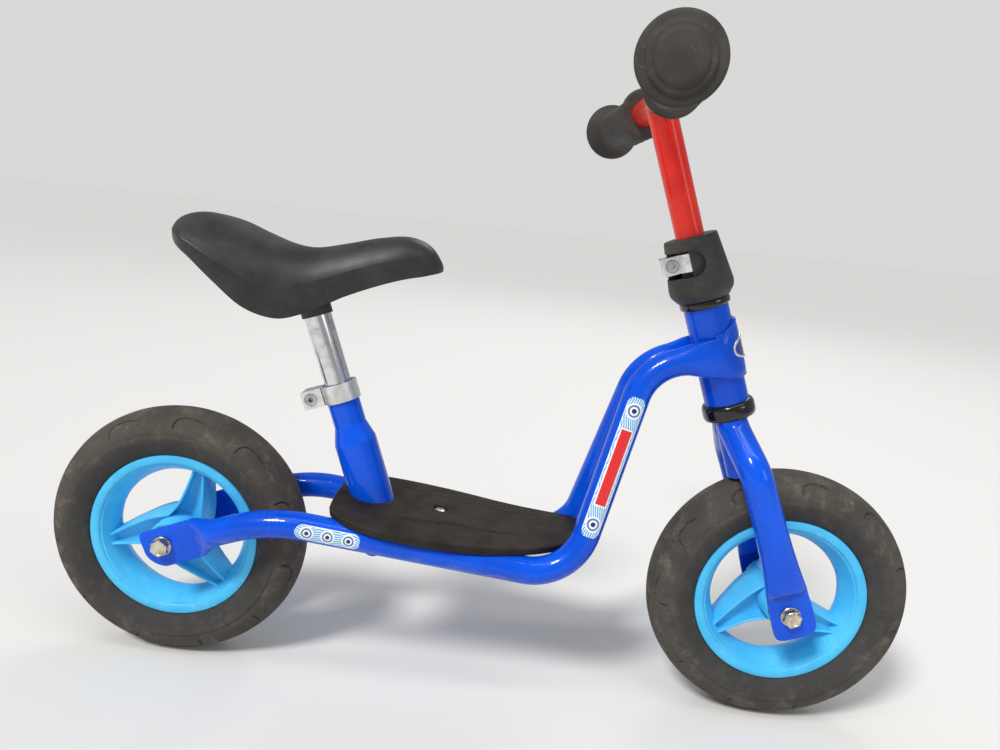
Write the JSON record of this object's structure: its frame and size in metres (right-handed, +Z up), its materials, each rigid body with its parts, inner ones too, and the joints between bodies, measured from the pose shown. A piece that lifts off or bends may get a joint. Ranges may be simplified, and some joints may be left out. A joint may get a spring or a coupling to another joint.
{
  "type": "balance bike",
  "caption": "Child's balance bike: bent twin-tube blue frame, sky-blue spoked rims, foam tyres, black saddle and grips, red bar.",
  "frame": {"origin": "on the ground midway between the wheels, in the bike's middle plane", "axes": "+X forward, +Y to the rider's left, +Z up"},
  "size_m": [0.723, 0.3554, 0.511],
  "materials": {
    "frame_paint": "gloss",
    "bar_paint": "gloss",
    "rim_plastic": "satin",
    "tyre_foam": "matte",
    "grip_rubber": "matte",
    "saddle_skin": "satin",
    "black_plastic": "matte",
    "gloss_plastic": "gloss",
    "deck_plastic": "matte",
    "zinc": "satin",
    "clamp_metal": "satin",
    "post_chrome": "polished",
    "badge_plate": "gloss"
  },
  "bodies": {
    "frame": {"left_frame_tube": "frame_paint", "right_frame_tube": "frame_paint", "head_tube": "frame_paint", "head_lug": "frame_paint", "head_badge": "badge_plate", "lower_headset_bush": "gloss_plastic", "upper_headset_bush": "gloss_plastic", "seat_tube": "frame_paint", "seat_bridge": "frame_paint", "deck_bracket": "frame_paint", "footboard": "deck_plastic", "footboard_screw": "zinc", "seat_clamp": "clamp_metal", "seat_clamp_bolt": "zinc", "rear_axle": "zinc", "rear_axle_bolts": "zinc", "rear_axle_washers": "zinc"},
    "seat": {"seat_post": "post_chrome", "saddle_bracket": "black_plastic", "saddle_base": "black_plastic", "saddle": "saddle_skin"},
    "fork": {"fork_steerer": "frame_paint", "left_fork_blade": "frame_paint", "right_fork_blade": "frame_paint", "front_axle": "zinc", "front_axle_bolts": "zinc", "front_axle_washers": "zinc", "stem_clamp": "clamp_metal", "stem_clamp_bolt": "zinc", "clamp_cover": "black_plastic"},
    "handlebar_set": {"stem": "bar_paint", "handlebar": "bar_paint", "left_grip": "grip_rubber", "right_grip": "grip_rubber"},
    "front_wheel": {"front_tyre": "tyre_foam", "front_rim": "rim_plastic", "front_hub_bushes": "black_plastic"},
    "rear_wheel": {"rear_tyre": "tyre_foam", "rear_rim": "rim_plastic", "rear_hub_bushes": "black_plastic"}
  },
  "joints": [
    {"name": "steering", "type": "hinge", "parent": "frame", "child": "fork", "pos_m": [0.17459, 0, 0.30491], "axis": [-0.3579, 0, 0.9338], "continuous": true},
    {"name": "handlebar_height", "type": "slide", "parent": "fork", "child": "handlebar_set", "axis": [-0.3579, 0, 0.9338], "range_m": [-0.06, 0.04]},
    {"name": "saddle_height", "type": "slide", "parent": "frame", "child": "seat", "axis": [-0.342, 0, 0.9397], "range_m": [-0.05, 0.025]},
    {"name": "front_wheel_spin", "type": "hinge", "parent": "fork", "child": "front_wheel", "pos_m": [0.254, 0, 0.1075], "axis": [0, 1, 0], "continuous": true},
    {"name": "rear_wheel_spin", "type": "hinge", "parent": "frame", "child": "rear_wheel", "pos_m": [-0.254, 0, 0.1075], "axis": [0, 1, 0], "continuous": true}
  ]
}
